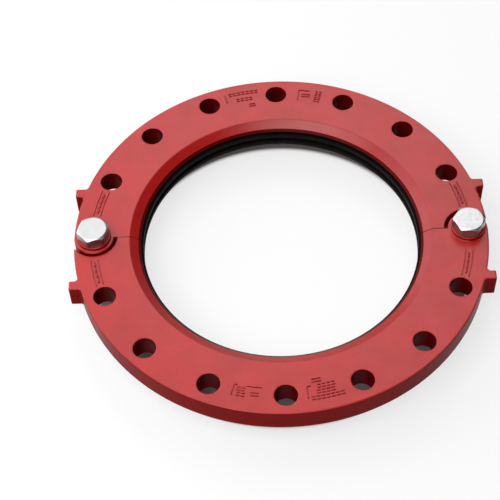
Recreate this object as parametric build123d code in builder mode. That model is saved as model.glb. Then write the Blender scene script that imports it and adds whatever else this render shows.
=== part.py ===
"""
Flange adaptor, DN 350, PN 16.

A flat flange in two equal castings that close round a grooved steel pipe. The castings lap over each
other at the left and at the right, where one bolt pins each lap. A key on their bore drops into the
pipe's groove, and a rubber gasket in the pocket below it seals the pipe against the mating flange.

Units are millimetres. The origin is the centre of the bore on the mating face, +Z points to the back
face, where the pipe leaves, and +X to the right-hand lap. The rear half lies at +Y, the front half at -Y.
"""

import os
from math import cos, radians, sqrt, tan

from build123d import *

# Grooved pipe
pipe_d = 355.6  # outside diameter
pipe_groove = 2.8  # depth of the groove

# Flange drilling
bolt_offset = 57.2  # from the pipe's surface to the bolt circle
hole_clearance = 2.0  # round a bolt, in all the bolt holes
hole_count = 16
rim_margin = 25.0  # from a bolt's axis to the rim
flange_t = 32.0
edge_round = 1.5  # on the rim, the lugs and the tongues

# Bore, from the mating face to the back face
pocket_depth = 19.5
gasket_band = 16.2  # from the pipe's surface to the pocket's wall
pocket_round = 2.0
pocket_chamfer = 1.0
key_clearance = 1.4  # from the bottom of the pipe's groove to the key
key_land = 2.5
key_shoulder = 3.2  # height of the steep shoulder behind the land
neck_clearance = 1.9  # from the pipe's surface to the shoulder's upper edge
lead_in = 10.7  # width of the lead-in slope, seen along the pipe

# Laps and seams between the halves
lap_share = 0.5  # of the flange's thickness, in the lower tongue
lap_gap = 4.4  # round the end of a tongue
seam_gap = 0.3
boss_d = 42.0  # raised pad under a bolt's head
boss_h = 3.5
boss_round = 1.2

# Lugs on the rim, two on each half
lug_y = 72.5
lug_w = 13.0
lug_stand = 12.8  # from the rim to the lug's end
lug_corner = 1.8
lug_root = 4.0

# Gasket
gasket_play = 0.3
lip_squeeze = 4.2  # by how much the lips are tighter than the pipe
lip_round = 1.2
outer_round = 1.5
pipe_lip_h = 6.2
flange_lip_h = 5.8
groove_depth = 6.5  # of the pressure groove between the lips
groove_floor = 3.0

# Bolts, nuts and washers, thread M24
thread_d = 24.0
bolt_length = 70.0
tip_chamfer = 2.0
hex_across = 36.0
head_h = 15.0
head_pad_inset = 1.0  # of the turned face under the head, from the hexagon's flats
head_pad_h = 0.8
bevel_angle = 30.0  # of the turned-off hexagon corners
nut_h = 21.5
thread_clearance = 0.15
nut_countersink = 1.3
washer_clearance = 0.5  # round the bolt
washer_ring = 9.5  # from the washer's bore to its rim
washer_t = 4.0
left_turn = 13.0  # degrees from +X to a corner of the hexagon
right_turn = -5.0

# Places that follow from the sizes above
pipe_r = pipe_d / 2
thread_r = thread_d / 2
hole_r = thread_r + hole_clearance
bolt_circle_r = pipe_r + bolt_offset
flange_r = bolt_circle_r + rim_margin
tongue_r = rim_margin
recess_r = tongue_r + lap_gap
lap_z = flange_t * lap_share
key_r = pipe_r - pipe_groove + key_clearance
pocket_r = pipe_r + gasket_band
neck_r = pipe_r + neck_clearance
mouth_r = neck_r + lead_in
land_top_z = pocket_depth + key_land
neck_z = land_top_z + key_shoulder
lug_rim_x = sqrt(flange_r**2 - lug_y**2)
lug_end_x = lug_rim_x + lug_stand
boss_r = boss_d / 2
boss_top_z = flange_t + boss_h
lip_r = pipe_r - lip_squeeze
gasket_r = pocket_r - gasket_play
gasket_h = pocket_depth - gasket_play


def tongue(x, from_z, to_z, round_z):
    """The half disc that a lap adds beyond the seam, with the edge at round_z rounded."""
    with BuildPart() as disc:
        with BuildSketch(Plane.XY.offset(from_z)):
            with BuildLine():
                tip = CenterArc((x, 0), tongue_r, 180, 180)
                Line(tip @ 1, tip @ 0)
            make_face()
        extrude(amount=to_z - from_z)
        rim = disc.edges().filter_by(GeomType.CIRCLE).filter_by_position(Axis.Z, round_z, round_z)
        fillet(rim, radius=edge_round)
    return disc.part


def bore_section():
    """What the bore, the key and the gasket pocket take out of the flange, from the axis outwards."""
    with BuildSketch(Plane.XZ) as section:
        with BuildLine():
            Polyline(
                (0, 0),
                (pocket_r + pocket_chamfer, 0),
                (pocket_r, pocket_chamfer),
                (pocket_r, pocket_depth),
                (key_r, pocket_depth),
                (key_r, land_top_z),
                (neck_r, neck_z),
                (mouth_r, flange_t),
                (0, flange_t),
                close=True,
            )
        make_face()
        pocket_corner = section.vertices().sort_by_distance((pocket_r, pocket_depth))[0]
        fillet(pocket_corner, radius=pocket_round)
    return section.sketch


# Rear half: a half ring with lugs, an upper tongue at the left and a lower tongue at the right
with BuildPart() as rear_half:
    with BuildSketch():
        with BuildLine():
            rim_arc = CenterArc((0, 0), flange_r, 0, 180)
            Line(rim_arc @ 1, rim_arc @ 0)
        make_face()
        with Locations((-lug_rim_x, lug_y), (lug_rim_x, lug_y)):
            Rectangle(2 * lug_stand, lug_w)
        lug_corners = vertices().filter_by(lambda v: abs(v.X) > lug_end_x - lug_corner)
        fillet(lug_corners, radius=lug_corner)
        lug_roots = vertices().filter_by(lambda v: v.Y > lug_corner and abs(v.X) < lug_end_x - 2 * lug_corner)
        fillet(lug_roots, radius=lug_root)
    extrude(amount=flange_t)
    for z in (0, flange_t):
        outline = edges().filter_by_position(Axis.Z, z, z).filter_by(lambda e: e.center().Y > edge_round)
        fillet(outline, radius=edge_round)

    add(tongue(-bolt_circle_r, lap_z, flange_t, flange_t))
    add(tongue(bolt_circle_r, 0, lap_z, 0))

    # Boss under the bolt's head, with a rounded foot
    with BuildSketch(Plane((-bolt_circle_r, 0, flange_t), x_dir=(1, 0, 0), z_dir=(0, -1, 0))):
        with BuildLine():
            foot = CenterArc((boss_r + boss_round, boss_round), boss_round, 180, 90)
            Polyline(foot @ 1, (0, 0), (0, boss_h), (boss_r, boss_h), foot @ 0)
        make_face()
    revolve(axis=Axis((-bolt_circle_r, 0, flange_t), (0, 0, 1)))

    # Recesses for the other half's tongues
    with BuildSketch():
        with Locations((-bolt_circle_r, 0)):
            Circle(recess_r)
    extrude(amount=lap_z, mode=Mode.SUBTRACT)
    with BuildSketch(Plane.XY.offset(lap_z)):
        with Locations((bolt_circle_r, 0)):
            Circle(recess_r)
    extrude(amount=flange_t - lap_z, mode=Mode.SUBTRACT)

    # Seam, from the bore to the tongues
    seam_end = bolt_circle_r - tongue_r
    with BuildSketch():
        Rectangle(2 * seam_end, seam_gap)
    extrude(amount=flange_t, mode=Mode.SUBTRACT)

    revolve(bore_section(), axis=Axis.Z, mode=Mode.SUBTRACT)
    with BuildSketch():
        with PolarLocations(bolt_circle_r, hole_count):
            Circle(hole_r)
    extrude(amount=boss_top_z, mode=Mode.SUBTRACT)

# Front half: the same casting, turned round
with BuildPart() as front_half:
    add(rear_half.part, rotation=(0, 0, 180))

# Gasket: a ring with a lip on the pipe, a lip on the mating flange and a pressure groove between them
with BuildPart() as gasket:
    with BuildSketch(Plane.XZ) as gasket_section:
        groove_low_z = flange_lip_h + (gasket_h - flange_lip_h - pipe_lip_h - groove_floor) / 2
        with BuildLine():
            Polyline(
                (gasket_r, 0),
                (gasket_r, gasket_h),
                (lip_r, gasket_h),
                (lip_r, gasket_h - pipe_lip_h),
                (lip_r + groove_depth, groove_low_z + groove_floor),
                (lip_r + groove_depth, groove_low_z),
                (lip_r, flange_lip_h),
                (lip_r, 0),
                close=True,
            )
        make_face()
        fillet(gasket_section.vertices().group_by(Axis.X)[0], radius=lip_round)
        fillet(gasket_section.vertices().group_by(Axis.X)[-1], radius=outer_round)
    revolve(axis=Axis.Z)


def turned_hexagon(base, height, turn, both_ends):
    """A hexagon bar standing on base, with its corners turned off at the top, or at both ends."""
    across_r = hex_across / 2
    corner_r = across_r / cos(radians(30))
    bevel_h = (corner_r - across_r) * tan(radians(bevel_angle))
    foot = [(across_r, 0), (corner_r, bevel_h)] if both_ends else [(corner_r, 0)]
    with BuildPart() as bar:
        with BuildSketch(base):
            RegularPolygon(radius=across_r, side_count=6, major_radius=False, rotation=turn)
        extrude(amount=height)
        with BuildSketch(Plane(base.origin, x_dir=(1, 0, 0), z_dir=(0, -1, 0))):
            with BuildLine():
                Polyline(
                    (0, 0),
                    *foot,
                    (corner_r, height - bevel_h),
                    (across_r, height),
                    (0, height),
                    close=True,
                )
            make_face()
        revolve(axis=Axis(base.origin, (0, 0, 1)), mode=Mode.INTERSECT)
    return bar.part


def lap_bolt(x, turn):
    """A hexagon bolt whose head sits on the boss at x."""
    seat = Plane((x, 0, boss_top_z))
    with BuildPart() as bolt:
        with BuildSketch(seat):
            Circle(hex_across / 2 - head_pad_inset)
        extrude(amount=head_pad_h)
        add(turned_hexagon(seat.offset(head_pad_h), head_h - head_pad_h, turn, both_ends=False))
        with BuildSketch(seat):
            Circle(thread_r)
        extrude(amount=-bolt_length)
        chamfer(bolt.edges().group_by(Axis.Z)[0], length=tip_chamfer)
    return bolt


def lap_washer(x):
    """A flat washer against the mating face at x."""
    bore_r = thread_r + washer_clearance
    with BuildPart() as washer:
        with BuildSketch(Plane((x, 0, 0))):
            Circle(bore_r + washer_ring)
            Circle(bore_r, mode=Mode.SUBTRACT)
        extrude(amount=-washer_t)
    return washer


def lap_nut(x, turn):
    """A hexagon nut below the washer at x."""
    seat = Plane((x, 0, -washer_t - nut_h))
    bore_r = thread_r + thread_clearance
    with BuildPart() as nut:
        add(turned_hexagon(seat, nut_h, turn, both_ends=True))
        with BuildSketch(seat):
            Circle(bore_r)
        extrude(amount=nut_h, mode=Mode.SUBTRACT)
        bore_edges = edges().filter_by(GeomType.CIRCLE).filter_by(lambda e: e.radius <= bore_r)
        chamfer(bore_edges, length=nut_countersink)
    return nut


os.makedirs("parts", exist_ok=True)

rear_half.part.label = "rear_half"
export_step(rear_half.part, "parts/rear_half.step")
front_half.part.label = "front_half"
export_step(front_half.part, "parts/front_half.step")
gasket.part.label = "gasket"
export_step(gasket.part, "parts/gasket.step")

for side, x, turn in (("left", -bolt_circle_r, left_turn), ("right", bolt_circle_r, right_turn)):
    bolt = lap_bolt(x, turn)
    bolt.part.label = f"{side}_bolt"
    export_step(bolt.part, f"parts/{side}_bolt.step")
    washer = lap_washer(x)
    washer.part.label = f"{side}_washer"
    export_step(washer.part, f"parts/{side}_washer.step")
    nut = lap_nut(x, turn)
    nut.part.label = f"{side}_nut"
    export_step(nut.part, f"parts/{side}_nut.step")
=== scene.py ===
"""Looks of the split flange adaptor: enamelled castings, rubber gasket and zinc-plated lap bolts.

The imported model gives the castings, the gasket, the washers and the nuts, and each gets its finish
here. The lap bolts are modelled again with their threads, and the raised casting marks are added to
the back faces. Lengths are in metres and angles in radians, unless a name says otherwise.
"""

import logging
from dataclasses import dataclass
from enum import Enum
from math import cos, degrees, pi, radians, sin, tan

import bpy
import numpy as np
from mathutils import Matrix, Vector


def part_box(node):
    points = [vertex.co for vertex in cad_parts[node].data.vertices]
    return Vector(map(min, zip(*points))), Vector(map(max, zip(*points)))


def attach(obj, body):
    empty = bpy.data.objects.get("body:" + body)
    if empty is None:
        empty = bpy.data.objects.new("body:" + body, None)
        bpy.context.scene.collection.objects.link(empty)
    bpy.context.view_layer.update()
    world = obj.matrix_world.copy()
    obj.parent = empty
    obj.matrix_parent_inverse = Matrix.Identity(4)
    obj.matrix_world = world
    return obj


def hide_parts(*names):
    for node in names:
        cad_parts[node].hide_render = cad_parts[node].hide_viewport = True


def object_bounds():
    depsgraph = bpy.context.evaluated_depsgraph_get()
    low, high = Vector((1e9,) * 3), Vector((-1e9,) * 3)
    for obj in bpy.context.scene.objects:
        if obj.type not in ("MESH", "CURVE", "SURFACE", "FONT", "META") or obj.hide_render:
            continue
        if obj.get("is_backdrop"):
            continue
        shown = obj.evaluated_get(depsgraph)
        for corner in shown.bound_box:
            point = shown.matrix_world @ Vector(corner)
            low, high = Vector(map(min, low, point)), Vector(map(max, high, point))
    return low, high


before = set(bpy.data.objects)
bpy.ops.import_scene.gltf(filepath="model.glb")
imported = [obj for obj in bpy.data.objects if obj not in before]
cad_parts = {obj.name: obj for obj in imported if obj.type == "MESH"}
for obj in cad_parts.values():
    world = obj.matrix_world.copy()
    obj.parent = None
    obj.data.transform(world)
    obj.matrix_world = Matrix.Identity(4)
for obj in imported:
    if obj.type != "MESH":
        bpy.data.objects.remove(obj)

LOG = logging.getLogger("flange_adaptor")
BODY = "root"
MM = 0.001

# The castings' own sizes that the finishes, bolts and marks follow
HOLE_CIRCLE_R = 235 * MM
HOLE_STEP = radians(22.5)
BACK_FACE_Z = 32 * MM

Colour = tuple[float, float, float]
Place = tuple[float, float, float]
Socket = bpy.types.NodeSocket

# A shell is a closed surface: its vertices, and its faces as lists of vertex numbers
Shell = tuple[np.ndarray, list[list[int]]]


class Slot(Enum):
    """Two material slot names, for the castings and for the zinc fasteners."""

    CASTING = "painted_casting"
    ZINC = "zinc_fastener"


# Surfaces


def ring_shell(rings: np.ndarray) -> Shell:
    """Skin a stack of closed rings and cap both ends.

    Each quad joins neighbours j and j + 1 of ring i to those of ring i + 1. Its normal is the
    direction along the ring crossed with the direction from ring to ring, so rings that run
    anticlockwise seen from the last ring's side give faces that point outwards.

    Args:
        rings: Points as an array of ring count by points per ring by 3.

    Returns:
        The closed shell.
    """
    count, around = rings.shape[:2]
    index = np.arange(count * around).reshape(count, around)
    beside = np.roll(index, -1, axis=1)
    quads = np.stack([index[:-1], beside[:-1], beside[1:], index[1:]], axis=-1).reshape(-1, 4)
    caps = [index[0, ::-1].tolist(), index[-1].tolist()]
    return rings.reshape(-1, 3), quads.tolist() + caps


def joined(shells: list[Shell]) -> Shell:
    """Put several shells into one list of vertices and faces.

    Args:
        shells: The shells, which keep their own vertices.

    Returns:
        One shell's vertices and faces, made of all of them.
    """
    points, faces, start = [], [], 0
    for vertices, polygons in shells:
        points.append(vertices)
        faces += [[number + start for number in polygon] for polygon in polygons]
        start += len(vertices)
    return np.concatenate(points), faces


def new_piece(name: str, shell: Shell, sharp_degrees: float) -> bpy.types.Object:
    """Make an object of a shell, smooth except where faces meet at more than an angle.

    Args:
        name: The piece's name.
        shell: Its vertices and faces.
        sharp_degrees: The smallest angle between two faces that shows as an edge.

    Returns:
        The object, in the scene and at the origin.
    """
    vertices, faces = shell
    mesh = bpy.data.meshes.new(name)
    mesh.from_pydata(vertices.tolist(), [], faces)
    mesh.polygons.foreach_set("use_smooth", np.ones(len(faces), dtype=bool))
    mesh.set_sharp_from_angle(angle=radians(sharp_degrees))
    mesh.update()
    piece = bpy.data.objects.new(name, mesh)
    bpy.context.scene.collection.objects.link(piece)
    return piece


def finish_piece(piece: bpy.types.Object, material: bpy.types.Material) -> None:
    """Give a new piece its material, and let it ride on the body.

    Args:
        piece: The piece.
        material: The finish.
    """
    piece.data.materials.append(material)
    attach(piece, BODY)
    LOG.info("%s: %d faces", piece.name, len(piece.data.polygons))


def dress_node(node: str, material: bpy.types.Material) -> None:
    """Give a CAD node its material.

    Args:
        node: The node's name.
        material: The finish.
    """
    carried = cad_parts[node]
    if not carried.material_slots:
        carried.data.materials.append(material)
    for slot in carried.material_slots:
        slot.material = material
    LOG.info("%s: dressed in %s", node, material.name)


# Finishes


@dataclass(frozen=True)
class Grain:
    """A noise pattern: its features per metre, its finer layers, and the range that it spans."""

    scale: float
    detail: float
    roughness: float = 0.5
    low: float = 0.3
    high: float = 0.7


class NodeBench:
    """The empty node tree of a new material or world, and short ways to add and link its nodes."""

    def __init__(
        self, block: bpy.types.Material | bpy.types.World, output: str = "Material"
    ) -> None:
        """Clear the block's node tree and add its output.

        Args:
            block: The new material or world.
            output: Which output node it needs.
        """
        block.use_nodes = True
        self.block = block
        self.tree = block.node_tree
        self.tree.nodes.clear()
        self.output = self.add(f"ShaderNodeOutput{output}")
        self.place = self.add("ShaderNodeTexCoord").outputs["Object"]

    def add(self, kind: str, **settings: object) -> bpy.types.Node:
        """Add a node and set its properties.

        Args:
            kind: The node's type name.
            **settings: Values of the node's own properties.

        Returns:
            The node.
        """
        node = self.tree.nodes.new(kind)
        for key, value in settings.items():
            setattr(node, key, value)
        return node

    def link(self, source: Socket, target: Socket) -> None:
        """Link an output to an input."""
        self.tree.links.new(source, target)

    def noise(self, grain: Grain) -> Socket:
        """Add a grain on the object's own coordinates, as a value mostly within its range."""
        pattern = self.add("ShaderNodeTexNoise")
        pattern.inputs["Scale"].default_value = grain.scale
        pattern.inputs["Detail"].default_value = grain.detail
        pattern.inputs["Roughness"].default_value = grain.roughness
        self.link(self.place, pattern.inputs["Vector"])
        return pattern.outputs["Fac"]

    def ramp(self, value: Socket, low: float, high: float, start: float, end: float) -> Socket:
        """Map a value's range onto another, held at its ends.

        Args:
            value: What to map.
            low: The value that gives start.
            high: The value that gives end.
            start: The result at low.
            end: The result at high.

        Returns:
            The mapped value.
        """
        span = self.add("ShaderNodeMapRange")
        span.inputs["From Min"].default_value = low
        span.inputs["From Max"].default_value = high
        span.inputs["To Min"].default_value = start
        span.inputs["To Max"].default_value = end
        self.link(value, span.inputs["Value"])
        return span.outputs["Result"]

    def spread(self, grain: Grain, start: float = 0.0, end: float = 1.0) -> Socket:
        """Add a grain whose own range is mapped onto start to end."""
        return self.ramp(self.noise(grain), grain.low, grain.high, start, end)

    def combine(self, operation: str, *values: Socket | float) -> Socket:
        """Work out a value from one or two others.

        Args:
            operation: The math node's operation.
            *values: The values, as sockets or numbers.

        Returns:
            The result.
        """
        maths = self.add("ShaderNodeMath", operation=operation)
        for value, socket in zip(values, maths.inputs):
            if isinstance(value, float):
                socket.default_value = value
            else:
                self.link(value, socket)
        return maths.outputs["Value"]

    def blend(self, share: Socket, first: Socket | Colour, second: Socket | Colour) -> Socket:
        """Blend two colours.

        Args:
            share: The second colour's share.
            first: The first colour, as a value or a socket.
            second: The second colour, as a value or a socket.

        Returns:
            The blended colour.
        """
        mix = self.add("ShaderNodeMix", data_type="RGBA")
        self.link(share, mix.inputs["Factor"])
        for socket, colour in ((mix.inputs[6], first), (mix.inputs[7], second)):
            if isinstance(colour, tuple):
                socket.default_value = (*colour, 1.0)
            else:
                self.link(colour, socket)
        return mix.outputs[2]

    def part_of(self, vector: Socket, axis: str) -> Socket:
        """Take one part of a vector, by its axis X, Y or Z."""
        parts = self.add("ShaderNodeSeparateXYZ")
        self.link(vector, parts.inputs["Vector"])
        return parts.outputs[axis]

    def length(self, vector: Socket) -> Socket:
        """Take a vector's length."""
        size = self.add("ShaderNodeVectorMath", operation="LENGTH")
        self.link(vector, size.inputs[0])
        return size.outputs["Value"]

    def from_axis(self) -> Socket:
        """Distance from the pipe's axis: the length of the place with its height left out."""
        flat = self.add("ShaderNodeVectorMath", operation="MULTIPLY")
        flat.inputs[1].default_value = (1.0, 1.0, 0.0)
        self.link(self.place, flat.inputs[0])
        return self.length(flat.outputs["Vector"])

    def facing(self) -> Socket:
        """How far a surface looks up: 1 on a level face, 0 on an upright wall, -1 underneath."""
        return self.part_of(self.add("ShaderNodeNewGeometry").outputs["Normal"], "Z")

    def seen(self) -> Socket:
        """Tell whether a ray comes from the camera, a reflection or glass: 1 if so, 0 if not."""
        rays = self.add("ShaderNodeLightPath")
        seen = rays.outputs["Is Camera Ray"]
        for kind in ("Is Glossy Ray", "Is Transmission Ray"):
            seen = self.combine("MAXIMUM", seen, rays.outputs[kind])
        return seen

    def bump(self, height: Socket, depth: float, under: Socket | None = None) -> Socket:
        """Add relief from a height pattern.

        Args:
            height: The pattern, from 0 to 1.
            depth: The relief's depth for the whole range.
            under: A coarser relief that this one lies on.

        Returns:
            The bent normal.
        """
        relief = self.add("ShaderNodeBump")
        relief.inputs["Strength"].default_value = 1.0
        relief.inputs["Distance"].default_value = depth
        self.link(height, relief.inputs["Height"])
        if under is not None:
            self.link(under, relief.inputs["Normal"])
        return relief.outputs["Normal"]

    def surface(self, **values: float) -> bpy.types.Node:
        """Add the surface shader, joined to the output.

        Args:
            **values: Numbers for its inputs, with underscores for spaces.

        Returns:
            The shader node.
        """
        shader = self.add("ShaderNodeBsdfPrincipled")
        for key, value in values.items():
            shader.inputs[key.replace("_", " ")].default_value = value
        self.link(shader.outputs["BSDF"], self.output.inputs["Surface"])
        return shader


@dataclass(frozen=True)
class RedEnamel:
    """Semi-gloss red enamel over a sand-cast skin.

    Faces that look up take the lighter paint and upright walls a darker red: painted light and
    shade. The faces are also glossier. The key's shoulder, below the lead-in slope, is dark red as
    painted shade, and the key is coloured nearly black. The walls of the bolt holes are darker
    still, which is painted shade too, and the seam between the castings is dark along its edges. A
    facing is how far a surface looks up, from 0 on a wall to 1 on a face.
    """

    # Painted shade: upright walls take this darker red, and faces that look up take the lighter deep
    # and bright paint as painted light.
    wall: Colour = (0.185, 0.0015, 0.001)
    deep: Colour = (0.385, 0.004, 0.003)
    bright: Colour = (0.48, 0.005, 0.004)
    patches: Grain = Grain(20.0, 4.0, 0.6, 0.32, 0.68)
    face_facing: float = 0.46

    # The key, inside key_r, is coloured nearly black.
    key_black: Colour = (0.006, 0.003, 0.0025)
    # Painted shade: the key's shoulder below the lead-in slope takes this dark red.
    shoulder_shade: Colour = (0.085, 0.0015, 0.001)
    key_r: float = 176.8 * MM
    slope_r: float = 179.7 * MM
    paint_fade: float = 0.4 * MM

    # Painted shade: the walls of the bolt holes take this red, darker than the other walls.
    hole: Colour = (0.105, 0.0008, 0.0006)
    hole_reach: float = 15 * MM

    seam: Colour = (0.16, 0.002, 0.002)
    seam_core: float = 0.24 * MM
    seam_reach: float = 0.6 * MM

    wall_gloss: float = 0.02
    face_gloss: float = 0.65
    gloss_facing: float = 0.2
    below_slope_gloss_share: float = 0.1
    sheen: Grain = Grain(55.0, 5.0)
    smoothest: float = 0.28
    roughest: float = 0.35

    edge_round: float = 2.5 * MM
    edge_samples: int = 4
    skin: Grain = Grain(170.0, 4.0, 0.55)
    skin_depth: float = 0.2 * MM
    peel: Grain = Grain(900.0, 2.0)
    peel_depth: float = 0.03 * MM

    def in_holes(self, bench: NodeBench, reach: Socket) -> Socket:
        """Tell where the bolt holes are, all round the bolt circle.

        The angle round the axis is folded at every half step, so it is 0 at each hole's middle.

        Args:
            bench: The finish's node tree.
            reach: Distance from the pipe's axis.

        Returns:
            1 within hole_reach of a hole's middle, along and across the circle, and 0 elsewhere.
        """
        across, along = bench.part_of(bench.place, "X"), bench.part_of(bench.place, "Y")
        fold = bench.combine("PINGPONG", bench.combine("ARCTAN2", along, across), HOLE_STEP / 2)
        edge = self.hole_reach / HOLE_CIRCLE_R
        near_angle = bench.ramp(fold, edge, edge + self.paint_fade / HOLE_CIRCLE_R, 1.0, 0.0)
        inner, outer = HOLE_CIRCLE_R - self.hole_reach, HOLE_CIRCLE_R + self.hole_reach
        past_inner = bench.ramp(reach, inner - self.paint_fade, inner, 0.0, 1.0)
        short_of_outer = bench.ramp(reach, outer, outer + self.paint_fade, 1.0, 0.0)
        in_band = bench.combine("MULTIPLY", past_inner, short_of_outer)
        return bench.combine("MULTIPLY", near_angle, in_band)

    def within(self, bench: NodeBench, reach: Socket, radius: float) -> Socket:
        """Tell where the distance from the axis is under a radius: 1 there, and 0 past it."""
        return bench.ramp(reach, radius - self.paint_fade, radius, 1.0, 0.0)

    def colour(self, bench: NodeBench, facing: Socket, reach: Socket) -> Socket:
        """Lay the colours over each other: painted light and shade, seam, shoulder and key.

        Args:
            bench: The finish's node tree.
            facing: How far the surface looks up.
            reach: Distance from the pipe's axis.

        Returns:
            The colour.
        """
        paint = bench.blend(bench.spread(self.patches), self.deep, self.bright)
        # Painted shade: within the bolt holes the walls take the darker hole red.
        wall = bench.blend(self.in_holes(bench, reach), self.wall, self.hole)
        # Painted light and shade: faces that look up take the paint, and upright walls the darker
        # wall red.
        coat = bench.blend(bench.ramp(facing, self.face_facing, 1.0, 0.0, 1.0), wall, paint)

        from_seam = bench.combine("ABSOLUTE", bench.part_of(bench.place, "Y"))
        at_seam = bench.ramp(from_seam, self.seam_core, self.seam_reach, 1.0, 0.0)
        coat = bench.blend(at_seam, coat, self.seam)
        # Painted shade on the key's shoulder, inside slope_r.
        coat = bench.blend(self.within(bench, reach, self.slope_r), coat, self.shoulder_shade)
        # The key, inside key_r, is coloured nearly black.
        return bench.blend(self.within(bench, reach, self.key_r), coat, self.key_black)

    def gloss(self, bench: NodeBench, facing: Socket, reach: Socket) -> Socket:
        """Work out the gloss: high on faces, low on walls, and lower again below the slope.

        Args:
            bench: The finish's node tree.
            facing: How far the surface looks up.
            reach: Distance from the pipe's axis.

        Returns:
            The specular level.
        """
        below_slope = self.within(bench, reach, self.slope_r)
        kept = bench.ramp(below_slope, 0.0, 1.0, 1.0, self.below_slope_gloss_share)
        gloss = bench.ramp(facing, self.gloss_facing, 1.0, self.wall_gloss, self.face_gloss)
        return bench.combine("MULTIPLY", gloss, kept)

    def relief(self, bench: NodeBench) -> Socket:
        """Round the edges, then lay the cast skin and the paint's fine peel over them."""
        rounded = bench.add("ShaderNodeBevel", samples=self.edge_samples)
        rounded.inputs["Radius"].default_value = self.edge_round
        skin = bench.bump(bench.noise(self.skin), self.skin_depth, rounded.outputs["Normal"])
        return bench.bump(bench.noise(self.peel), self.peel_depth, skin)

    def material(self) -> bpy.types.Material:
        """Build the finish."""
        bench = NodeBench(bpy.data.materials.new("red_enamel"))
        facing, reach = bench.facing(), bench.from_axis()
        inputs = bench.surface().inputs
        bench.link(self.colour(bench, facing, reach), inputs["Base Color"])
        bench.link(self.gloss(bench, facing, reach), inputs["Specular IOR Level"])
        bench.link(bench.spread(self.sheen, self.smoothest, self.roughest), inputs["Roughness"])
        bench.link(self.relief(bench), inputs["Normal"])
        return bench.block


@dataclass(frozen=True)
class BlackRubber:
    """Moulded black rubber, matt, with a faint grey bloom."""

    black: Colour = (0.002, 0.0012, 0.0009)
    grey: Colour = (0.005, 0.0036, 0.003)
    bloom: Grain = Grain(40.0, 5.0, 0.6, 0.35)
    gloss: float = 0.05
    sheen: Grain = Grain(25.0, 3.0)
    smoothest: float = 0.5
    roughest: float = 0.66
    grain: Grain = Grain(1200.0, 3.0)
    grain_depth: float = 0.03 * MM

    def material(self) -> bpy.types.Material:
        """Build the finish."""
        bench = NodeBench(bpy.data.materials.new("black_rubber"))
        inputs = bench.surface(Specular_IOR_Level=self.gloss).inputs
        colour = bench.blend(bench.spread(self.bloom), self.black, self.grey)
        bench.link(colour, inputs["Base Color"])
        bench.link(bench.spread(self.sheen, self.smoothest, self.roughest), inputs["Roughness"])
        bench.link(bench.bump(bench.noise(self.grain), self.grain_depth), inputs["Normal"])
        return bench.block


@dataclass(frozen=True)
class BrightZinc:
    """Bright zinc plate on forged steel, a little cloudy, with painted shade on upright sides.

    The sides' colour holds up to side_facing, and the level faces' from level_facing.
    """

    bright: Colour = (0.61, 0.61, 0.61)
    dull: Colour = (0.54, 0.545, 0.55)
    # Painted shade: the upright sides take this darker colour.
    side: Colour = (0.36, 0.355, 0.35)
    clouds: Grain = Grain(120.0, 4.0, 0.6)
    side_facing: float = 0.15
    level_facing: float = 0.5
    sheen: Grain = Grain(260.0, 3.0)
    smoothest: float = 0.3
    roughest: float = 0.4
    forging: Grain = Grain(420.0, 3.0)
    forge_depth: float = 0.03 * MM

    def material(self) -> bpy.types.Material:
        """Build the finish."""
        bench = NodeBench(bpy.data.materials.new("bright_zinc"))
        inputs = bench.surface(Metallic=1.0).inputs
        facing = bench.combine("ABSOLUTE", bench.facing())
        level = bench.ramp(facing, self.side_facing, self.level_facing, 0.0, 1.0)
        clouded = bench.blend(bench.spread(self.clouds), self.bright, self.dull)
        # Painted shade: upright sides take the darker side colour.
        bench.link(bench.blend(level, self.side, clouded), inputs["Base Color"])
        bench.link(bench.spread(self.sheen, self.smoothest, self.roughest), inputs["Roughness"])
        bench.link(bench.bump(bench.noise(self.forging), self.forge_depth), inputs["Normal"])
        return bench.block


# Lap bolts


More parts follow.
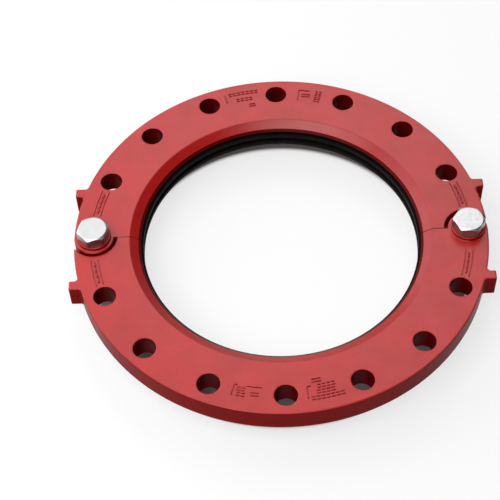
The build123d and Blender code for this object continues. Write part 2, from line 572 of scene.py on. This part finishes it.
@dataclass(frozen=True)
class LapBolt:
    """A hexagon bolt through one lap: head, shank and thread, as one closed surface.

    Sizes are those of a 24 mm bolt with a 3 mm thread. The places of the head's top and of the
    thread's end come from the CAD bolt that the piece stands for. The wave that cuts the thread
    runs from 0 to 1: crest_flat of it stays at the crest, and flank_share of it is the flank.
    """

    node: str
    axis_x: float
    turn_degrees: float
    head_h: float = 15 * MM
    pad_h: float = 0.8 * MM
    pad_r: float = 17 * MM
    across_r: float = 18 * MM
    top_r: float = 17 * MM
    corner_cut: float = 0.35 * MM
    bevel_degrees: float = 30.0
    shank_r: float = 12 * MM
    thread_l: float = 54 * MM
    pitch: float = 3 * MM
    thread_depth: float = 1.84 * MM
    crest_flat: float = 0.12
    flank_share: float = 0.70
    tip_chamfer: float = 2 * MM
    flank_columns: int = 16
    turn_rings: int = 10
    bevel_rings: int = 16
    bevel_overrun: float = 1.25
    top_shares: tuple[float, float] = (0.985, 0.5)
    sharp_degrees: float = 28.0

    def from_first_corner(self) -> np.ndarray:
        """Angles round the bolt from a corner of the hexagon, with a column at each corner."""
        return np.linspace(0, 2 * pi, 6 * self.flank_columns, endpoint=False)

    def columns(self) -> np.ndarray:
        """Angles round the bolt from +X, one for each column."""
        return radians(self.turn_degrees) + self.from_first_corner()

    def corner_r(self) -> float:
        """Distance from the axis to a sharp corner of the hexagon."""
        return self.across_r / cos(pi / 6)

    def hexagon(self) -> np.ndarray:
        """Distance from the axis to the hexagon's outline, at each column.

        A flat lies across_r from the axis, so at an angle from the flat's middle the outline is
        across_r divided by that angle's cosine. The corners are blunted by corner_cut.
        """
        from_flat = self.from_first_corner() % (pi / 3) - pi / 6
        return np.minimum(self.across_r / np.cos(from_flat), self.corner_r() - self.corner_cut)

    def thread_rings(self, low: float, high: float) -> tuple[np.ndarray, np.ndarray]:
        """The thread as radii over height and angle.

        The radius is the crest's, less the thread's depth times a wave. The wave falls and rises
        in a straight line over one pitch of height and one turn of angle together, and is cut off
        flat at the root and at the crest. It fades out towards the shank, and a cone cuts it at
        the tip.

        Args:
            low: Height of the tip.
            high: Height where the thread runs out.

        Returns:
            The rings' heights, and their radii as rings by columns.
        """
        count = round((high - low) / self.pitch * self.turn_rings) + 1
        heights = np.linspace(low, high, count)[:, None]
        phase = (heights - low) / self.pitch - self.columns()[None, :] / (2 * pi)
        wave = np.abs(phase % 1.0 - 0.5) * 2
        cut = np.clip((wave - self.crest_flat) / self.flank_share, 0, 1)
        fade = np.clip((high - heights) / self.pitch, 0, 1)
        radii = self.shank_r - self.thread_depth * cut * fade
        cone = self.shank_r - self.tip_chamfer + (heights - low)
        return heights[:, 0], np.minimum(radii, cone)

    def head_rings(self, top: float) -> tuple[np.ndarray, np.ndarray]:
        """The head as radii over height and angle, from the shank's end to the middle of its top.

        A round pad lies under the hexagon. In the bevel a cone of bevel_degrees cuts the hexagon:
        at a depth below the top, the radius is at most top_r plus that depth divided by the
        cone's slope. Its rings start at bevel_overrun times the depth where it leaves the corners.

        Args:
            top: Height of the head's top.

        Returns:
            The rings' heights, and their radii as rings by columns.
        """
        hexagon = self.hexagon()
        circle = np.ones_like(hexagon)
        seat = top - self.head_h
        slope = tan(radians(self.bevel_degrees))
        bevel_h = self.bevel_overrun * (self.corner_r() - self.top_r) * slope
        depths = [self.head_h - self.pad_h, *np.linspace(bevel_h, 0, self.bevel_rings)]

        pad_top = seat + self.pad_h
        rings = [(seat, self.shank_r), (seat, self.pad_r), (pad_top, self.pad_r)]
        rings = [(height, circle * radius) for height, radius in rings]
        for depth in depths:
            rings.append((top - depth, np.minimum(hexagon, self.top_r + depth / slope)))
        rings += [(top, circle * share * self.top_r) for share in self.top_shares]
        heights, radii = zip(*rings)
        return np.array(heights), np.array(radii)

    def shell(self) -> Shell:
        """Stack the rings from the tip up to the head's top."""
        low, high = (corner.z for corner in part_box(self.node))
        parts = self.thread_rings(low, low + self.thread_l), self.head_rings(high)
        heights, radii = (np.concatenate(values) for values in zip(*parts))
        angle = self.columns()[None, :]
        across, along = self.axis_x + radii * np.cos(angle), radii * np.sin(angle)
        levels = np.broadcast_to(heights[:, None], radii.shape)
        return ring_shell(np.stack([across, along, levels], axis=-1))

    def build(self, zinc: bpy.types.Material) -> None:
        """Make the bolt and let it stand for its CAD node."""
        bolt = new_piece(f"{self.node}_threaded", self.shell(), self.sharp_degrees)
        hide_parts(self.node)
        finish_piece(bolt, zinc)


# Casting marks


@dataclass(frozen=True)
class RaisedLine:
    """A low rounded rib on a casting's back face, along a path.

    Its section has around points, and end_rings of them close each end, the first of them at the
    angle first_ring round the end's half circle. The lower boxiness is, the squarer is the section.
    """

    width: float
    height: float
    foot: float = 0.4 * MM
    around: int = 12
    end_rings: int = 4
    first_ring: float = 0.15
    boxiness: float = 0.55

    def shell(self, path: np.ndarray, face_z: float) -> Shell:
        """Carry the rib's section along a path, with half-round ends.

        The section is a flattened oval: its sideways and upward parts are a cosine and a sine,
        each raised to a power under one, and the part under the face is only as deep as the foot.
        Towards each end the section shrinks as a circle does, by the root of one minus the square
        of the distance past the circle's centre over its radius.

        Args:
            path: The centre line on the face, as points by 2.
            face_z: Height of the face.

        Returns:
            The rib's closed shell.
        """
        steps = np.linalg.norm(np.diff(path, axis=0), axis=1)
        run = np.concatenate([[0.0], np.cumsum(steps)])
        half = min(self.width, run[-1]) / 2
        bend = half * (1 - np.cos(np.linspace(self.first_ring, pi / 2, self.end_rings)))
        inner = run[(run > half) & (run < run[-1] - half)]
        along = np.concatenate([bend, inner, run[-1] - bend[::-1]])
        past = np.clip(1 - np.minimum(along, run[-1] - along) / half, 0, 1)
        shrink = np.sqrt(1 - past**2)

        centre = np.stack([np.interp(along, run, path[:, axis]) for axis in (0, 1)], axis=-1)
        ahead = np.gradient(centre, along, axis=0)
        ahead /= np.linalg.norm(ahead, axis=1, keepdims=True)
        aside = np.stack([ahead[:, 1], -ahead[:, 0]], axis=-1)

        angle = np.linspace(0, 2 * pi, self.around, endpoint=False)
        sideways = np.sign(np.cos(angle)) * np.abs(np.cos(angle)) ** self.boxiness * self.width / 2
        upward = np.sign(np.sin(angle)) * np.abs(np.sin(angle)) ** self.boxiness
        lift = np.where(upward > 0, upward * self.height, upward * self.foot)
        offset = (shrink[:, None] * sideways[None, :])[..., None]
        plan = centre[:, None, :] + aside[:, None, :] * offset
        level = face_z + np.sqrt(shrink)[:, None] * lift[None, :]
        rings = np.concatenate([plan, level[..., None]], axis=-1)
        return ring_shell(rings[:, ::-1])


@dataclass(frozen=True)
class DashRow:
    """A row of equal double dashes along an arc. Angles are in degrees round the pipe from +X."""

    radius_mm: float
    start: float
    end: float
    count: int


@dataclass(frozen=True)
class Bracket:
    """A radial line, and arcs that start from it, each as its radius and the angle of its end."""

    angle: float
    inner_mm: float
    outer_mm: float
    arcs: tuple[tuple[float, float], ...] = ()


@dataclass(frozen=True)
class CastingMarks:
    """The raised marks on the castings' back faces: plain dashes and brackets, with no lettering.

    Angles are in degrees round the pipe from +X, and radii are from its axis. A lap band is two
    arcs with dashes between them, from beside a bolt hole to a lap. The front underline is an arc,
    given as its radius and the angles of its start and end.
    """

    line: RaisedLine = RaisedLine(1.5 * MM, 1.1 * MM)
    dash: RaisedLine = RaisedLine(1.5 * MM, 1.0 * MM)
    dash_gap: float = 1.1 * MM
    dash_spread: float = 1.9 * MM
    arc_step: float = 0.4
    fewest_steps: int = 5
    spoke_points: int = 7
    sharp_degrees: float = 50.0

    band_lines_r: tuple[float, float] = (231 * MM, 240 * MM)
    band_dash_r_mm: float = 235.5
    band_dashes: int = 4
    band_spread: float = 0.7 * MM
    band_inset_share: float = 0.1

    rear_rows: tuple[DashRow, ...] = (
        DashRow(243.5, 105.4, 95.9, 7),
        DashRow(232.0, 103.4, 98.0, 4),
        DashRow(220.0, 99.7, 97.3, 1),
        DashRow(235.2, 81.6, 78.7, 1),
        DashRow(242.5, 77.3, 75.2, 2),
        DashRow(235.5, 77.3, 75.2, 2),
        DashRow(228.5, 77.3, 75.2, 2),
    )
    rear_brackets: tuple[Bracket, ...] = (
        Bracket(106.6, 231.0, 245.0),
        Bracket(82.7, 226.0, 244.0, ((244.0, 79.2),)),
    )
    rear_bands: tuple[tuple[float, float], ...] = ((161.8, 171.6), (18.2, 8.4))

    front_rows: tuple[DashRow, ...] = (
        DashRow(231.0, 255.7, 258.2, 2),
        DashRow(238.3, 255.9, 258.4, 2),
        DashRow(235.7, 259.9, 262.3, 1),
        DashRow(218.5, 277.8, 280.8, 1),
        DashRow(226.5, 279.2, 284.6, 4),
        DashRow(234.0, 278.8, 284.2, 4),
        DashRow(241.8, 277.0, 286.4, 7),
    )
    front_brackets: tuple[Bracket, ...] = (
        Bracket(254.6, 226.0, 242.0, ((226.0, 255.6),)),
        Bracket(276.1, 225.5, 242.0, ((225.5, 277.4),)),
    )
    front_underline: tuple[float, float, float] = (226 * MM, 258.4, 262.9)
    front_bands: tuple[tuple[float, float], ...] = ((198.2, 188.4), (341.8, 351.6))

    def arc(self, radius: float, start: float, end: float) -> np.ndarray:
        """Points along an arc round the pipe's axis.

        Args:
            radius: The arc's radius.
            start: Angle where it starts.
            end: Angle where it ends.

        Returns:
            The points, as an array of count by 2.
        """
        count = max(round(abs(end - start) / self.arc_step), self.fewest_steps) + 1
        angle = np.radians(np.linspace(start, end, count))
        return radius * np.stack([np.cos(angle), np.sin(angle)], axis=-1)

    def spoke(self, angle: float, inner: float, outer: float) -> np.ndarray:
        """Points along a radial line, as an array of count by 2."""
        out = np.linspace(inner, outer, self.spoke_points)[:, None]
        return out * np.array([[cos(radians(angle)), sin(radians(angle))]])

    def dashes(self, row: DashRow, spread: float) -> list[Shell]:
        """Lay one row of double dashes.

        Args:
            row: The row, whose radius is its middle.
            spread: From the row's middle to the middle of each dash of a pair.

        Returns:
            Their shells.
        """
        radius = row.radius_mm * MM
        gap = degrees(self.dash_gap / radius) * np.sign(row.end - row.start)
        length = (row.end - row.start + gap) / row.count - gap
        starts = row.start + np.arange(row.count) * (length + gap)
        return [
            self.dash.shell(self.arc(radius + side, first, first + length), BACK_FACE_Z)
            for first in starts
            for side in (-spread, spread)
        ]

    def lines(self, paths: list[np.ndarray]) -> list[Shell]:
        """Lay a plain line along each path."""
        return [self.line.shell(path, BACK_FACE_Z) for path in paths]

    def bracket(self, shape: Bracket) -> list[Shell]:
        """Lay one bracket: its radial line and its arcs."""
        paths = [self.spoke(shape.angle, shape.inner_mm * MM, shape.outer_mm * MM)]
        paths += [self.arc(radius_mm * MM, shape.angle, end) for radius_mm, end in shape.arcs]
        return self.lines(paths)

    def lap_band(self, start: float, end: float) -> list[Shell]:
        """Lay the two arcs of a lap band and the dashes between them.

        Args:
            start: Angle of the band's start.
            end: Angle of its end.

        Returns:
            The shells of its lines and dashes.
        """
        arcs = self.lines([self.arc(radius, start, end) for radius in self.band_lines_r])
        inset = self.band_inset_share * (end - start)
        row = DashRow(self.band_dash_r_mm, start + inset, end - inset, self.band_dashes)
        return arcs + self.dashes(row, self.band_spread)

    def group(
        self,
        rows: tuple[DashRow, ...],
        brackets: tuple[Bracket, ...],
        bands: tuple[tuple[float, float], ...],
    ) -> list[Shell]:
        """Lay all the marks of one casting.

        Args:
            rows: Its rows of dashes between the bolt holes.
            brackets: Its brackets.
            bands: Its lap bands, each as the angles of its start and end.

        Returns:
            Their shells.
        """
        shells = []
        for row in rows:
            shells += self.dashes(row, self.dash_spread)
        for shape in brackets:
            shells += self.bracket(shape)
        for start, end in bands:
            shells += self.lap_band(start, end)
        return shells

    def build(self, name: str, shells: list[Shell], enamel: bpy.types.Material) -> None:
        """Make one casting's marks as one piece."""
        marks = new_piece(name, joined(shells), self.sharp_degrees)
        finish_piece(marks, enamel)

    def build_all(self, enamel: bpy.types.Material) -> None:
        """Make the marks of both castings."""
        rear = self.group(self.rear_rows, self.rear_brackets, self.rear_bands)
        self.build("rear_cast_marks", rear, enamel)
        front = self.group(self.front_rows, self.front_brackets, self.front_bands)
        front += self.lines([self.arc(*self.front_underline)])
        self.build("front_cast_marks", front, enamel)


# Studio


@dataclass(frozen=True)
class Lamp:
    """A square soft lamp that faces the ring's centre.

    Its glow is the brightness of its face, where 1 is white, and its power is the glow times pi
    and its area.
    """

    name: str
    place: Place
    width: float
    glow: float

    def hang(self) -> None:
        """Hang the lamp in its place."""
        light = bpy.data.lights.new(self.name, "AREA")
        light.shape = "SQUARE"
        light.size = self.width
        light.energy = self.glow * pi * self.width**2
        lamp = bpy.data.objects.new(self.name, light)
        lamp.rotation_mode = "QUATERNION"
        lamp.rotation_quaternion = Vector(self.place).to_track_quat("Z", "Y")
        lamp.location = self.place
        bpy.context.scene.collection.objects.link(lamp)


@dataclass(frozen=True)
class Studio:
    """Camera, floor, sky and lamps."""

    camera_place: Place = (-0.01619, -1.02796, 1.39794)
    camera_right: Place = (0.999553, -0.013660, -0.026585)
    camera_up: Place = (0.026737, 0.806208, 0.591031)
    lens_mm: float = 97.88
    sensor_mm: float = 36.0
    nearest: float = 0.05
    farthest: float = 50.0

    floor_size: float = 12.0
    floor_colour: Colour = (0.9, 0.9, 0.9)
    floor_roughness: float = 0.9
    floor_gloss: float = 0.1
    floor_whiteness: float = 0.7
    shade_colour: Colour = (0.28, 0.28, 0.28)
    shade_inner_r: float = 200 * MM
    shade_outer_r: float = 240 * MM
    shade_edge: float = 6 * MM

    sky_level: float = 0.09
    haze_level: float = 0.8
    haze_low: float = 0.1
    haze_high: float = 0.18

    lamps: tuple[Lamp, ...] = (
        Lamp("back", (0.08, 1.34, 1.73), 1.6, 1.93),
        Lamp("left", (-1.85, 0.45, 1.05), 1.9, 2.2),
        Lamp("low", (-1.25, 1.6, 0.72), 1.2, 1.9),
        Lamp("top", (-0.6, -1.0, 1.86), 1.8, 3.75),
    )

    def add_camera(self) -> None:
        """Place the camera by its right and up directions."""
        right, up = Vector(self.camera_right), Vector(self.camera_up)
        turn = Matrix((right, up, right.cross(up))).transposed().to_4x4()
        lens = bpy.data.cameras.new("camera")
        lens.sensor_width = self.sensor_mm
        lens.lens = self.lens_mm
        lens.clip_start, lens.clip_end = self.nearest, self.farthest
        camera = bpy.data.objects.new("camera", lens)
        camera.matrix_world = Matrix.Translation(self.camera_place) @ turn
        bpy.context.scene.collection.objects.link(camera)
        bpy.context.scene.camera = camera

    def floor_material(self) -> bpy.types.Material:
        """Build the floor's finish.

        Seen by the camera or in a reflection, floor_whiteness of it is plain white, and the rest
        of it keeps the object's shadow. Below the ring of bolt holes its colour is darker, which is
        a painted shadow, and nothing is whitened, so that the shadow is deep there. The radii of
        that ring are measured from the frame's origin, which lies above the floor.
        """
        bench = NodeBench(bpy.data.materials.new("pale_floor"))
        reach = bench.length(bench.place)
        inner, outer, edge = self.shade_inner_r, self.shade_outer_r, self.shade_edge
        inside = bench.ramp(reach, inner - edge, inner, 1.0, 0.0)
        outside = bench.ramp(reach, outer, outer + edge, 0.0, 1.0)
        open_floor = bench.combine("MAXIMUM", inside, outside)

        plain = bench.surface(Roughness=self.floor_roughness, Specular_IOR_Level=self.floor_gloss)
        # Painted shadow: the floor's colour is darker under the ring of bolt holes.
        paint = bench.blend(open_floor, self.shade_colour, self.floor_colour)
        bench.link(paint, plain.inputs["Base Color"])
        white = bench.add("ShaderNodeEmission")
        whitened = bench.combine("MULTIPLY", bench.seen(), open_floor)
        mix = bench.add("ShaderNodeMixShader")
        bench.link(bench.ramp(whitened, 0.0, 1.0, 0.0, self.floor_whiteness), mix.inputs["Fac"])
        bench.link(plain.outputs["BSDF"], mix.inputs[1])
        bench.link(white.outputs["Emission"], mix.inputs[2])
        bench.link(mix.outputs["Shader"], bench.output.inputs["Surface"])
        return bench.block

    def add_floor(self, level: float) -> None:
        """Lay a plain pale floor at the height of the lowest bolt end."""
        half = self.floor_size / 2
        outline = ((-half, -half), (half, -half), (half, half), (-half, half))
        mesh = bpy.data.meshes.new("floor")
        mesh.from_pydata([(x, y, level) for x, y in outline], [], [(0, 1, 2, 3)])
        mesh.materials.append(self.floor_material())
        floor = bpy.data.objects.new("floor", mesh)
        bpy.context.scene.collection.objects.link(floor)
        floor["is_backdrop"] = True

    def add_sky(self) -> None:
        """Fill the room with even light.

        Seen by the camera or in a reflection, the room is pale at the horizon, up to the height
        haze_low on a sphere of radius 1, and the paleness has faded out at haze_high.
        """
        bench = NodeBench(bpy.data.worlds.new("room"), "World")
        height = bench.part_of(bench.add("ShaderNodeTexCoord").outputs["Generated"], "Z")
        haze = bench.ramp(height, self.haze_low, self.haze_high, 1.0, 0.0)
        seen_haze = bench.combine("MULTIPLY", bench.seen(), haze)
        strength = bench.ramp(seen_haze, 0.0, 1.0, self.sky_level, self.haze_level)
        glow = bench.add("ShaderNodeBackground")
        glow.inputs["Color"].default_value = (1.0, 1.0, 1.0, 1.0)
        bench.link(strength, glow.inputs["Strength"])
        bench.link(glow.outputs["Background"], bench.output.inputs["Surface"])
        bpy.context.scene.world = bench.block

    def build(self, floor_level: float) -> None:
        """Set up the whole studio."""
        self.add_camera()
        self.add_floor(floor_level)
        self.add_sky()
        for lamp in self.lamps:
            lamp.hang()
        bpy.context.scene.view_settings.view_transform = "Standard"


def main() -> None:
    """Dress the CAD nodes, add the new pieces and set up the studio."""
    logging.basicConfig(level=logging.INFO, format="%(name)s: %(message)s")
    cad_low, cad_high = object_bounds()

    enamel = RedEnamel().material()
    rubber = BlackRubber().material()
    zinc = BrightZinc().material()
    for node in ("rear_half", "front_half"):
        dress_node(node, enamel)
    dress_node("gasket", rubber)
    for node in ("left_washer", "right_washer", "left_nut", "right_nut"):
        dress_node(node, zinc)

    LapBolt("left_bolt", axis_x=-HOLE_CIRCLE_R, turn_degrees=13.0).build(zinc)
    LapBolt("right_bolt", axis_x=HOLE_CIRCLE_R, turn_degrees=-5.0).build(zinc)
    CastingMarks().build_all(enamel)

    Studio().build(cad_low.z)


if __name__ == "__main__":
    main()
